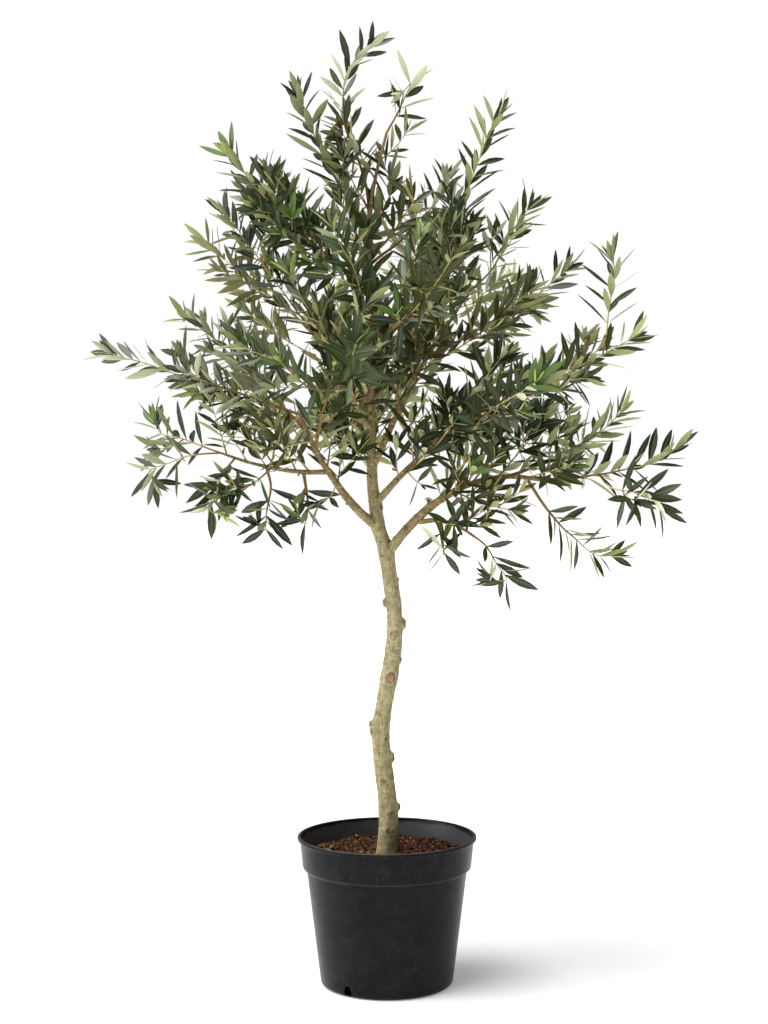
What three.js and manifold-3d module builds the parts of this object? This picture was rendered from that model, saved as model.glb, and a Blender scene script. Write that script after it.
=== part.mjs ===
// Potted olive tree: a young olive grown as a small standard in a black nursery pot.
// Millimetres, +Z up. The origin is the middle of the pot's flat underside; the front of the tree is -Y
// and its right is +X. Every piece is one closed solid: pot, soil, trunk, boughs, and one for each
// mass of foliage.
import * as THREE from "three";
import { mergeVertices } from "three/addons/utils/BufferGeometryUtils.js";
import Module from "manifold-3d";

const wasm = await Module();
wasm.setup();

// ---- driving dimensions ------------------------------------------------------------------------

const GAP = 0.4; // clearance left where one piece meets another

const POT = {
  height: 235,
  lipRadius: 140,
  lipDepth: 7, // height of the bead round the mouth
  collarTop: 136, // outer radius of the deep collar under the lip
  collarFoot: 132,
  collarHeight: 48,
  ledge: 5, // height of the slope from the collar in to the body
  bodyTop: 125.5,
  bodyFoot: 104.5,
  footRound: 4,
  wall: 2.6,
  sides: 32,
};

const NOTCH = { width: 13, height: 17, depth: 14, bearings: [235, 55] }; // drain openings in the foot

const SOIL = { top: 208, crumb: 1.5 }; // level of the compost, and how far its top is uneven

const TRUNK_MESH = { sides: 10, rows: 24 };
const BOUGH_MESH = { sides: 6, rows: 5 };
const MASS_MESH = { sides: 7, rows: 6 };

// The stem, station by station: height, place to the right, place to the back, diameter.
const TRUNK = [
  [SOIL.top + GAP + 1.5, -1, 0, 33],
  [217, -0.6, 0, 31.5],
  [268, 2.3, 0, 30],
  [319, -2.7, 1, 28.2],
  [395, -10, 4, 28.2],
  [437, -4.7, 4, 25],
  [500, 6.5, 0, 27.4],
  [568, 13.4, -5, 23.8],
  [617, 8, -4, 24],
  [664, 2.5, 0, 25],
  [690, -4.7, 2, 20.6],
  [749, -17.7, 5, 20.2],
  [797, -23.7, 6, 16.2],
  [869, -24.6, 6, 12.6],
  [1031, -26.6, 0, 9.6],
  [1148, -28.9, -3, 7.9],
  [1248, -21.8, 0, 5.6],
  [1340, 0, 4, 4.2],
];

// One row for each bough, named bough_ and the row's name. "on" is the limb that it leaves and "at" is
// how far along that limb, "tip" is where it ends, "bow" is how far its middle stands off the straight
// line, and "thick" is its diameter at both ends.
const BOUGHS = {
  left_low: { on: "trunk", at: 512, tip: [-137, -40, 905], bow: [-14, -4, -6], thick: [15, 8] },
  left_reach: { on: "bough_left_low", at: 125, tip: [-262, -62, 842], bow: [0, 0, -8], thick: [8, 5] },
  right_low: { on: "trunk", at: 472, tip: [250, -70, 797], bow: [-14, 0, 46], thick: [16, 8] },
  right_droop: { on: "bough_right_low", at: 68, tip: [135, -62, 711], bow: [0, 0, 12], thick: [9, 6] },
  right_mid: { on: "trunk", at: 553, tip: [112, -70, 884], bow: [-5, 0, 4], thick: [11, 7] },
  right_high: { on: "trunk", at: 607, tip: [132, -25, 1095], bow: [-11, 0, 0], thick: [11, 6] },
  left_high: { on: "trunk", at: 690, tip: [-147, 25, 1057], bow: [0, 4, 12], thick: [8, 5] },
  back_low: { on: "trunk", at: 570, tip: [-18, 205, 900], bow: [-2, 6, -12], thick: [10, 6] },
  back_left: { on: "trunk", at: 655, tip: [-120, 165, 1000], bow: [0, 10, -12], thick: [8, 5] },
  back_right: { on: "trunk", at: 720, tip: [95, 150, 1075], bow: [0, 8, -10], thick: [8, 5] },
  front_low: { on: "trunk", at: 672, tip: [-62, -150, 962], bow: [0, -8, -12], thick: [8, 5] },
  front_high: { on: "trunk", at: 748, tip: [10, -92, 1050], bow: [0, -6, -8], thick: [7, 4.5] },
};

// One row for each mass of foliage, named leaves_ and the row's name, in the same terms. Its leading
// shoot leaves the limb or the mass named in "on" and runs to "tip", and "girth" is how far the leaves
// stand out round it.
const FOLIAGE = {
  left_reach: { on: "bough_left_low", at: 226, tip: [-457, -60, 1002], bow: [0, 0, 4], girth: 44 },
  left_rise: { on: "bough_left_low", at: 196, tip: [-348, 120, 1077], bow: [0, 0, 10], girth: 56 },
  left_high: { on: "bough_left_high", at: 200, tip: [-317, 140, 1196], bow: [0, 0, 0], girth: 58 },
  left_crown: { on: "trunk", at: 886, tip: [-261, -110, 1312], bow: [0, -5, -12], girth: 64 },
  top_left: { on: "trunk", at: 986, tip: [-154, 15, 1427], bow: [-8, 0, -8], girth: 52 },
  top: { on: "trunk", at: 1002, tip: [-28, 0, 1507], bow: [-58, 0, -10], girth: 50 },
  leader: { on: "trunk", at: 1136, tip: [43, 5, 1440], bow: [4, 0, -4], girth: 34 },
  right_crown: { on: "bough_right_high", at: 236, tip: [179, -50, 1391], bow: [-18, 0, 0], girth: 54 },
  right_top: { on: "trunk", at: 926, tip: [118, 60, 1298], bow: [8, 8, -8], girth: 52 },
  front_top: { on: "trunk", at: 940, tip: [58, -75, 1262], bow: [8, -8, -6], girth: 42 },
  right_high: { on: "bough_right_high", at: 322, tip: [240, -20, 1247], bow: [0, 0, 0], girth: 50 },
  right_rise: { on: "bough_right_high", at: 195, tip: [319, 130, 1150], bow: [0, 0, -8], girth: 52 },
  right_reach: { on: "bough_right_mid", at: 196, tip: [404, -110, 1030], bow: [0, 0, -3], girth: 50 },
  right_upright: { on: "leaves_right_reach", at: 238, tip: [345, -90, 1169], bow: [6, 0, 0], girth: 34 },
  right_low_rise: { on: "bough_right_low", at: 238, tip: [405, 110, 917], bow: [0, 0, -18], girth: 44 },
  right_low_reach: { on: "bough_right_low", at: 292, tip: [475, -85, 853], bow: [0, 0, -16], girth: 42 },
  right_low_fork: { on: "leaves_right_low_reach", at: 84, tip: [429, -190, 747], bow: [0, 0, 4], girth: 36 },
  right_hanging: { on: "bough_right_low", at: 268, tip: [375, -55, 654], bow: [-14, 0, -14], girth: 38 },
  right_droop: { on: "bough_right_droop", at: 96, tip: [187, -80, 611], bow: [14, 0, 14], girth: 42 },
  right_droop_small: { on: "bough_right_droop", at: 46, tip: [92, -55, 665], bow: [0, 0, 0], girth: 24 },
  left_low: { on: "bough_left_reach", at: 98, tip: [-199, -84, 689], bow: [10, 0, 0], girth: 60 },
  left_low_inner: { on: "bough_left_reach", at: 40, tip: [-140, -62, 706], bow: [6, 0, 0], girth: 40 },
  left_low_outer: { on: "bough_left_reach", at: 148, tip: [-264, -150, 720], bow: [-8, 0, 10], girth: 44 },
  left_low_reach: { on: "bough_left_reach", at: 172, tip: [-396, -72, 783], bow: [-8, 0, 16], girth: 42 },
  left_low_rise: { on: "bough_left_reach", at: 166, tip: [-397, 40, 900], bow: [0, 0, -10], girth: 44 },
  front_left_rise: { on: "bough_left_low", at: 168, tip: [-8, -175, 1106], bow: [-14, -22, 4], girth: 54 },
  front_right_rise: { on: "bough_right_mid", at: 100, tip: [187, -170, 1004], bow: [0, -12, 0], girth: 52 },
  front_crown: { on: "bough_front_high", at: 126, tip: [62, -150, 1196], bow: [0, -8, 0], girth: 46 },
  front_low: { on: "bough_front_low", at: 196, tip: [-40, -372, 1002], bow: [0, 0, -8], girth: 60 },
  front_left: { on: "bough_front_low", at: 150, tip: [-245, -245, 1015], bow: [0, 0, -6], girth: 58 },
  front_right: { on: "bough_right_mid", at: 176, tip: [230, -290, 955], bow: [0, -6, -4], girth: 56 },
  front_mid: { on: "bough_front_high", at: 110, tip: [104, -310, 1130], bow: [0, 0, -8], girth: 56 },
  front_high: { on: "bough_front_high", at: 90, tip: [-92, -232, 1196], bow: [0, -10, 0], girth: 54 },
  back_low: { on: "bough_back_low", at: 246, tip: [50, 412, 968], bow: [0, 0, -8], girth: 62 },
  back_low_left: { on: "bough_back_low", at: 176, tip: [-220, 320, 905], bow: [0, 6, -10], girth: 58 },
  back_low_right: { on: "bough_back_low", at: 230, tip: [300, 280, 884], bow: [0, 6, -8], girth: 58 },
  back_left: { on: "bough_back_left", at: 232, tip: [-268, 262, 1096], bow: [0, 0, -6], girth: 60 },
  back_mid: { on: "bough_back_left", at: 206, tip: [-84, 352, 1128], bow: [0, 0, -8], girth: 60 },
  back_right: { on: "bough_back_right", at: 236, tip: [238, 270, 1136], bow: [0, 0, -6], girth: 60 },
  back_high: { on: "bough_back_right", at: 180, tip: [40, 286, 1236], bow: [0, 6, -6], girth: 58 },
  back_top: { on: "trunk", at: 900, tip: [-82, 172, 1316], bow: [0, 8, -10], girth: 56 },
  inner_left: { on: "bough_left_high", at: 70, tip: [-166, -84, 1150], bow: [0, -6, 0], girth: 56 },
  inner_low: { on: "trunk", at: 730, tip: [-22, 36, 1146], bow: [8, 34, 0], girth: 52 },
  inner_high: { on: "trunk", at: 900, tip: [2, 14, 1324], bow: [18, 8, 0], girth: 34 },
  inner_right: { on: "bough_right_low", at: 128, tip: [168, -44, 902], bow: [0, 0, 0], girth: 58 },
};

// How uneven a mass is: the part of its girth by which it swells and shrinks as two lobes and as three
// ribs round its shoot and as tiers along it, and how far each mass is turned on from the last.
const UNEVEN = { lobes: 0.17, ribs: 0.12, tiers: 0.12, turn: 2.4 };

const FINISH = {
  pot: { color: 0x232324, roughness: 0.55, metalness: 0 },
  soil: { color: 0x4a3524, roughness: 1, metalness: 0 },
  bark: { color: 0xa39a7a, roughness: 0.85, metalness: 0 },
  leaves: { color: 0x4f5c40, roughness: 0.6, metalness: 0 },
};

// ---- shapes -------------------------------------------------------------------------------------

// A closed copy of a geometry: shared corners merged, and no triangle with two corners alike.
function closed(geometry) {
  const bare = geometry.clone();
  bare.deleteAttribute("normal");
  bare.deleteAttribute("uv");
  const merged = mergeVertices(bare, 1e-3);
  const corners = merged.index.array;
  const kept = [];
  for (let i = 0; i < corners.length; i += 3) {
    const [a, b, c] = [corners[i], corners[i + 1], corners[i + 2]];
    if (a !== b && b !== c && c !== a) kept.push(a, b, c);
  }
  merged.setIndex(kept);
  return merged;
}

// Turns a profile of [radius, height] pairs, which starts and ends on the axis, about +Z.
function turned(profile) {
  const points = profile.map(([radius, height]) => new THREE.Vector2(radius, height));
  return new THREE.LatheGeometry(points, POT.sides).rotateX(Math.PI / 2);
}

// Frames for a stem whose rings all lie level, so that its foot is a flat level cut.
function levelFrames(rows) {
  const along = (x, y, z) => Array(rows + 1).fill(new THREE.Vector3(x, y, z));
  return { normals: along(1, 0, 0), binormals: along(0, 1, 0), tangents: along(0, 0, 1) };
}

// Bends a cylinder along a curve. reach(t, angle) is how far its skin stands off the curve, and grow
// makes it that much larger all round and at both ends. Its rings are square to the curve unless
// other frames are given.
function swept(curve, sides, rows, reach, grow, frames = curve.computeFrenetFrames(rows, false)) {
  const shape = new THREE.CylinderGeometry(1, 1, 1, sides, rows);
  const corners = shape.getAttribute("position");
  const corner = new THREE.Vector3();
  for (let i = 0; i < corners.count; i++) {
    corner.fromBufferAttribute(corners, i);
    const row = Math.round((corner.y + 0.5) * rows);
    const angle = Math.atan2(corner.z, corner.x);
    const out = Math.hypot(corner.x, corner.z) > 0.5 ? reach(row / rows, angle) + grow : 0;
    const overrun = row === 0 ? -grow : row === rows ? grow : 0;
    corner.copy(curve.getPointAt(row / rows));
    corner.addScaledVector(frames.normals[row], out * Math.cos(angle));
    corner.addScaledVector(frames.binormals[row], -out * Math.sin(angle));
    corner.addScaledVector(frames.tangents[row], overrun);
    corners.setXYZ(i, corner.x, corner.y, corner.z);
  }
  return shape;
}

// ---- cutting ------------------------------------------------------------------------------------

function solidOf(geometry) {
  const { attributes, index } = closed(geometry);
  const vertProperties = new Float32Array(attributes.position.array);
  const triVerts = new Uint32Array(index.array);
  return new wasm.Manifold(new wasm.Mesh({ numProp: 3, vertProperties, triVerts }));
}

function geometryOf(solid) {
  const { vertProperties, triVerts } = solid.getMesh();
  const geometry = new THREE.BufferGeometry();
  geometry.setAttribute("position", new THREE.BufferAttribute(vertProperties, 3));
  geometry.setIndex(new THREE.BufferAttribute(triVerts, 1));
  geometry.computeVertexNormals();
  return geometry;
}

function boxesMeet(a, b) {
  return [0, 1, 2].every((axis) => a.min[axis] < b.max[axis] && b.min[axis] < a.max[axis]);
}

// The solid with every cutter taken out of it. Where that leaves crumbs, the largest piece is kept.
function trimmed(solid, cutters) {
  let left = solid;
  for (const cutter of cutters) {
    if (boxesMeet(left.boundingBox(), cutter.boundingBox())) left = left.subtract(cutter);
  }
  return left.decompose().sort((a, b) => b.volume() - a.volume())[0];
}

// ---- pot and soil -------------------------------------------------------------------------------

// Injection-moulded pot: flat foot with a rounded edge, tapered body, deep collar, beaded lip.
function potSolid() {
  const { height, lipRadius, lipDepth, collarTop, collarFoot, bodyTop, bodyFoot, footRound, wall } = POT;
  const ledgeTop = height - POT.collarHeight;
  const ledgeFoot = ledgeTop - POT.ledge;
  const body = turned([
    [0, 0],
    [bodyFoot - footRound, 0],
    [bodyFoot - footRound * 0.3, footRound * 0.3],
    [bodyFoot, footRound],
    [bodyTop, ledgeFoot],
    [collarFoot, ledgeTop],
    [collarTop, height - lipDepth - 2],
    [lipRadius, height - lipDepth],
    [lipRadius, height - 2],
    [lipRadius - 2, height],
    [collarTop - wall, height],
    [collarFoot - wall, ledgeTop],
    [bodyTop - wall, ledgeFoot],
    [bodyFoot - wall, wall],
    [0, wall],
  ]);
  const notches = NOTCH.bearings.map((bearing) => {
    const notch = new THREE.BoxGeometry(NOTCH.depth, NOTCH.width, NOTCH.height);
    notch.translate(bodyFoot, 0, wall + NOTCH.height / 2);
    return solidOf(notch.rotateZ(THREE.MathUtils.degToRad(bearing)));
  });
  return trimmed(solidOf(body), notches);
}

// Bark compost that fills the pot to a level a little under the lip.
function soilSolid() {
  const ledgeTop = POT.height - POT.collarHeight;
  const ledgeFoot = ledgeTop - POT.ledge;
  const inset = POT.wall + GAP;
  const slope = (POT.collarTop - POT.collarFoot) / POT.collarHeight;
  const topRadius = POT.collarFoot + slope * (SOIL.top - ledgeTop) - inset;
  return solidOf(turned([
    [0, POT.wall + GAP],
    [POT.bodyFoot - inset, POT.wall + GAP],
    [POT.bodyTop - inset, ledgeFoot],
    [POT.collarFoot - inset, ledgeTop],
    [topRadius, SOIL.top - SOIL.crumb],
    [topRadius * 0.5, SOIL.top + SOIL.crumb],
    [0, SOIL.top + SOIL.crumb],
  ]));
}

// ---- limbs and foliage --------------------------------------------------------------------------

// The centre line of every limb and of every mass's leading shoot.
const stations = TRUNK.map(([z, x, y]) => new THREE.Vector3(x, y, z));
const axes = new Map([["trunk", new THREE.CatmullRomCurve3(stations)]]);
for (const [name, bough] of Object.entries(BOUGHS)) axes.set(`bough_${name}`, shootCurve(bough));
for (const [name, mass] of Object.entries(FOLIAGE)) axes.set(`leaves_${name}`, shootCurve(mass));

// The curve of a bough or a leading shoot: it leaves its parent's centre line and bows on the way.
function shootCurve({ on, at, tip, bow }) {
  const parent = axes.get(on);
  const foot = parent.getPointAt(Math.min(at / parent.getLength(), 1));
  const end = new THREE.Vector3(...tip);
  const middle = foot.clone().lerp(end, 0.5).addScaledVector(new THREE.Vector3(...bow), 2);
  return new THREE.QuadraticBezierCurve3(foot, middle, end);
}

function trunkShape(stem, grow) {
  const { sides, rows } = TRUNK_MESH;
  const diameterAt = (height) => {
    const above = Math.max(1, TRUNK.findIndex(([z]) => z >= height - 1e-6));
    const [low, high] = [TRUNK[above - 1], TRUNK[above]];
    return THREE.MathUtils.mapLinear(height, low[0], high[0], low[3], high[3]);
  };
  const reach = (t) => diameterAt(Math.min(stem.getPointAt(t).z, TRUNK.at(-1)[0])) / 2;
  return swept(stem, sides, rows, reach, grow, levelFrames(rows));
}

function boughShape(curve, [foot, end], grow) {
  const { sides, rows } = BOUGH_MESH;
  return swept(curve, sides, rows, (t) => THREE.MathUtils.lerp(foot, end, t) / 2, grow);
}

// A mass of foliage: narrow where its shoot leaves the limb, full past the middle, drawn to a tip, and
// lumpy in a way of its own.
function foliageShape(curve, girth, number, grow) {
  const { sides, rows } = MASS_MESH;
  const turn = number * UNEVEN.turn;
  const reach = (t, angle) => {
    if (t === 0 || t === 1) return -grow; // both ends stay points
    const swell = Math.pow(Math.sin(Math.PI * Math.pow(t, 0.94)), 0.6);
    const lobes = UNEVEN.lobes * Math.sin(2 * angle + turn);
    const ribs = UNEVEN.ribs * Math.sin(3 * angle - 8 * t + 2 * turn);
    const tiers = UNEVEN.tiers * Math.sin(11 * t + turn);
    return girth * swell * (1 + lobes + ribs) * (1 + tiers);
  };
  return swept(curve, sides, rows, reach, grow);
}

// ---- assembly -----------------------------------------------------------------------------------

const tree = new THREE.Group();

function addMesh(name, geometry, finish) {
  const mesh = new THREE.Mesh(geometry, new THREE.MeshStandardMaterial(finish));
  mesh.name = name;
  tree.add(mesh);
}

addMesh("pot", geometryOf(potSolid()), FINISH.pot);
addMesh("soil", geometryOf(soilSolid()), FINISH.soil);

// Limbs come first and stay whole; each later piece is cut back to clear the ones before it.
const cutters = [];

function addGrowth(name, shape, finish) {
  const curve = axes.get(name);
  addMesh(name, geometryOf(trimmed(solidOf(shape(curve, 0)), cutters)), finish);
  cutters.push(solidOf(shape(curve, GAP)));
}

addGrowth("trunk", trunkShape, FINISH.bark);
for (const [name, { thick }] of Object.entries(BOUGHS)) {
  addGrowth(`bough_${name}`, (curve, grow) => boughShape(curve, thick, grow), FINISH.bark);
}
Object.entries(FOLIAGE).forEach(([name, { girth }], number) => {
  addGrowth(`leaves_${name}`, (curve, grow) => foliageShape(curve, girth, number, grow), FINISH.leaves);
});

export default tree;
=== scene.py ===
import math
import random

import bpy
import numpy as np
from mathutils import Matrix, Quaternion, Vector, noise
from mathutils.bvhtree import BVHTree


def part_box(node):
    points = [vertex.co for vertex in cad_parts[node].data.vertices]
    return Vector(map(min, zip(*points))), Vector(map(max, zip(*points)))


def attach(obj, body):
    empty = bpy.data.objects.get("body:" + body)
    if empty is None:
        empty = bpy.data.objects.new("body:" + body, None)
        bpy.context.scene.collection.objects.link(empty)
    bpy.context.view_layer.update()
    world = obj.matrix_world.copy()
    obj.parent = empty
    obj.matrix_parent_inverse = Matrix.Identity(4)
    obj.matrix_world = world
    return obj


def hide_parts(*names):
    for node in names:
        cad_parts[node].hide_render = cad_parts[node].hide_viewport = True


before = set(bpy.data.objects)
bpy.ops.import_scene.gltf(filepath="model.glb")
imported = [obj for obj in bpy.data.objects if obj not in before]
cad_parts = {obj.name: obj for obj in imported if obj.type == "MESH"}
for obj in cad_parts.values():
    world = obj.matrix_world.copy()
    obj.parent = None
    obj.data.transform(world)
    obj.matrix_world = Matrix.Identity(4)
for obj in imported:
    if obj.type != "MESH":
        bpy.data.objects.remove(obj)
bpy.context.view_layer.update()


# ---- camera -------------------------------------------------------------------------------------
# The plant is looked at from the front, a little above the middle of its stem, through a long lens
# that keeps pot and crown nearly free of perspective.

CAMERA_PLACE = (0.0, -3.0, 0.88)
CAMERA_DOWN = math.radians(2.55)
CAMERA_LEFT = math.radians(0.09)
CAMERA_LENS = 67.25  # mm, on a 36 mm frame

camera = bpy.data.objects.new("camera", bpy.data.cameras.new("camera"))
camera.data.lens = CAMERA_LENS
camera.data.sensor_width = 36.0
camera.location = CAMERA_PLACE
camera.rotation_euler = (math.pi / 2 - CAMERA_DOWN, 0.0, CAMERA_LEFT)
bpy.context.scene.collection.objects.link(camera)
bpy.context.scene.camera = camera
bpy.context.scene.view_settings.view_transform = "Standard"


# ---- studio -------------------------------------------------------------------------------------
# A plain white floor under two soft lights. A broad one, high at the left, leaves a short soft shadow
# to the right of the pot; a weak one, low at the left, shows the roundness of stem and pot.

FLOOR_SIZE = 30.0
FLOOR_DROP = 0.0004
FLOOR_TONE = "#e8e8e8"
FLOOR_GLOW = 0.27  # a floor lit a little from below, as in a product studio, which keeps it white
WHITE = "#ffffff"
SKY_STRENGTH = 0.14
LAMPS = {  # strength, spread in degrees, and the way the light runs
    "top_softbox": (4.5, 44, (0.31, 0.14, -0.94)),
    "side_softbox": (1.7, 40, (0.93, 0.32, -0.18)),
}


def tone(code, alpha=1.0):
    """An sRGB hex colour as linear RGBA."""
    parts = [int(code[i:i + 2], 16) / 255 for i in (1, 3, 5)]
    linear = [p / 12.92 if p <= 0.04045 else ((p + 0.055) / 1.055) ** 2.4 for p in parts]
    return (*linear, alpha)


def add(tree, kind, inputs=None, **settings):
    """Adds a node; each input is either a value or the socket that feeds it."""
    made = tree.nodes.new(kind)
    for name, value in settings.items():
        setattr(made, name, value)
    for name, value in (inputs or {}).items():
        if isinstance(value, bpy.types.NodeSocket):
            tree.links.new(value, made.inputs[name])
        else:
            made.inputs[name].default_value = value
    return made


def finish_material(name, **surface):
    """A material with one Principled shader; what is not given here is linked in afterwards."""
    material = bpy.data.materials.new(name)
    material.use_nodes = True
    shader = material.node_tree.nodes["Principled BSDF"]
    for socket, value in surface.items():
        shader.inputs[socket.replace("_", " ")].default_value = value
    return material, material.node_tree, shader


def piece(name, points, faces, materials, slots=None, smooth=True):
    """A mesh object in the frame's own place; slots gives each face its material."""
    mesh = bpy.data.meshes.new(name)
    mesh.from_pydata(np.asarray(points).tolist(), [], faces)
    for material in materials:
        mesh.materials.append(material)
    if slots is not None:
        mesh.polygons.foreach_set("material_index", np.asarray(slots, dtype=np.int32))
    if smooth:
        mesh.shade_smooth()
    mesh.update()
    made = bpy.data.objects.new(name, mesh)
    bpy.context.scene.collection.objects.link(made)
    return made


floor_paint, _, _ = finish_material(
    "matt_white_paint", Base_Color=tone(FLOOR_TONE), Roughness=0.9, Emission_Color=tone(WHITE),
    Emission_Strength=FLOOR_GLOW)
half = FLOOR_SIZE / 2
corners = [(x, y, -FLOOR_DROP) for x, y in ((-half, -half), (half, -half), (half, half), (-half, half))]
floor = piece("floor", corners, [(0, 1, 2, 3)], [floor_paint])

world = bpy.data.worlds.new("studio")
world.use_nodes = True
sky = world.node_tree
sky.nodes.clear()
ambient = add(sky, "ShaderNodeBackground", {"Color": tone(WHITE), "Strength": SKY_STRENGTH})
backdrop = add(sky, "ShaderNodeBackground", {"Color": tone(WHITE), "Strength": 1.0})
seen = add(sky, "ShaderNodeLightPath")
both = add(sky, "ShaderNodeMixShader", {
    0: seen.outputs["Is Camera Ray"], 1: ambient.outputs[0], 2: backdrop.outputs[0]})
add(sky, "ShaderNodeOutputWorld", {"Surface": both.outputs[0]})
bpy.context.scene.world = world

for name, (strength, spread, travel) in LAMPS.items():
    lamp = bpy.data.objects.new(name, bpy.data.lights.new(name, "SUN"))
    lamp.data.energy = strength
    lamp.data.angle = math.radians(spread)
    lamp.rotation_euler = Vector(travel).to_track_quat("-Z", "Y").to_euler()
    bpy.context.scene.collection.objects.link(lamp)


# ---- pot ----------------------------------------------------------------------------------------
# A nursery pot, injection-moulded in black polypropylene: recessed foot, tapered body, a deep collar
# that steps out over it, and a beaded lip. Two drain openings are cut in the edge of the foot.

POT_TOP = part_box("pot")[1].z
LIP_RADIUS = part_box("pot")[1].x
POT_SIDES = 220
POT_SPAN = 0.006  # longest stretch of the profile between two rings
CORNER_STEPS = 6
OUT_OF_ROUND = 0.0005
DUST_AND_SHEEN_TOP = 0.236  # a pale film inside the wall up to here: partly dried compost dust, partly painted sheen
WALL_FLARE = 0.10  # how much the collar widens for its height
PAINTED_EDGE_HIGHLIGHTS = [  # painted highlights: height where each pale band starts, where it is full, and how much: bead, then the ledge
    (0.2337, 0.2353, 0.80), (0.1822, 0.1838, 1.0), (0.1862, 0.1846, 0.36)]
NOTCH_BEARINGS = (235, 55)
NOTCH_WIDTH = 0.0125
NOTCH_FOOT = 0.003
NOTCH_TOP = 0.0185
NOTCH_REACH = (0.088, 0.118)  # from within the wall to outside it
NOTCH_POINTS = 26

# Outline from the middle of the underside round the outside and down the inside: radius, height and
# the rounding of each corner, in millimetres.
POT_OUTLINE = [
    (0.4, 2.2, 0), (86, 2.2, 1), (90, 0.1, 1.2), (99.5, 0.1, 1), (104.6, 3.4, 3.4),
    (126.6, 182, 1.6), (132.4, 185.5, 1.6), (133.3, 189, 1.2), (137.0, 227, 1.4), (138.0, 228.9, 0.7),
    (141.2, 229.4, 1.8), (141.2, 235.2, 2.6), (135.8, 235.2, 2.4), (132.6, 213, 2), (130.0, 188, 2.2),
    (122.8, 182.5, 2.2), (102.2, 4.6, 2), (0.4, 4.6, 0),
]


def rounded(corners):
    """The outline with each corner turned into a short curve, and long runs divided up."""
    corners = [np.array([r, z, f]) / 1000 for r, z, f in corners]
    line = [corners[0][:2]]
    for before, here, after in zip(corners, corners[1:], corners[2:]):
        back, on = before[:2] - here[:2], after[:2] - here[:2]
        start = here[:2] + back / np.linalg.norm(back) * here[2]
        end = here[:2] + on / np.linalg.norm(on) * here[2]
        for t in np.linspace(0, 1, CORNER_STEPS):
            line.append((1 - t) ** 2 * start + 2 * t * (1 - t) * here[:2] + t * t * end)
    line.append(corners[-1][:2])
    fine = [line[0]]
    for a, b in zip(line, line[1:]):
        count = max(1, math.ceil(np.linalg.norm(b - a) / POT_SPAN))
        fine.extend(a + (b - a) * (i + 1) / count for i in range(count))
    return np.array(fine)


def turned(name, outline, sides, materials):
    """Turns an outline about the pot's axis and closes its two ends."""
    angles = np.linspace(0, 2 * math.pi, sides, endpoint=False)
    ring = np.stack([np.cos(angles), np.sin(angles)], axis=1)
    points = np.concatenate([np.column_stack([ring * r, np.full(sides, z)]) for r, z in outline])
    faces = []
    for first in range(0, (len(outline) - 1) * sides, sides):
        for i in range(sides):
            j = (i + 1) % sides
            faces.append((first + i, first + j, first + sides + j, first + sides + i))
    faces.append(tuple(range(sides))[::-1])
    faces.append(tuple(range(len(points) - sides, len(points))))
    return piece(name, points, faces, materials)


def noise_field(tree, place, scale, detail, roughness=0.5, distortion=0.0):
    """Cloudy noise; the scale is in clouds to the metre."""
    made = add(tree, "ShaderNodeTexNoise", {
        "Vector": place, "Scale": scale, "Detail": detail, "Roughness": roughness, "Distortion": distortion})
    return made.outputs["Fac"]


def rescale(tree, value, low, high, least=0.0, most=1.0, ease="LINEAR"):
    """Turns low..high into least..most, and holds the value at both ends."""
    made = add(tree, "ShaderNodeMapRange", {
        "Value": value, "From Min": low, "From Max": high, "To Min": least, "To Max": most},
        interpolation_type=ease)
    return made.outputs["Result"]


def calculate(tree, operation, *values):
    return add(tree, "ShaderNodeMath", dict(enumerate(values)), operation=operation).outputs[0]


def blend(tree, share, first, second):
    """Lays a second tone over the first by a share from 0 to 1."""
    made = add(tree, "ShaderNodeMix", {"Factor": share, "A": first, "B": second}, data_type="RGBA")
    return made.outputs["Result"]


def ramp(tree, share, *ends):
    """Runs from one tone to another; each end is a position and a colour code."""
    made = add(tree, "ShaderNodeValToRGB", {"Fac": share})
    for element, (position, code) in zip(made.color_ramp.elements, ends):
        element.position = position
        element.color = tone(code)
    return made.outputs["Color"]


def feed(tree, shader, **sources):
    """Links what has been worked out to the shader's sockets."""
    for socket, source in sources.items():
        tree.links.new(source, shader.inputs[socket.replace("_", " ")])


def bumps(tree, height, strength, distance):
    """Fine relief, too small for the mesh; the distance is in metres."""
    made = add(tree, "ShaderNodeBump", {"Strength": strength, "Distance": distance, "Height": height})
    return made.outputs["Normal"]


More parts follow.
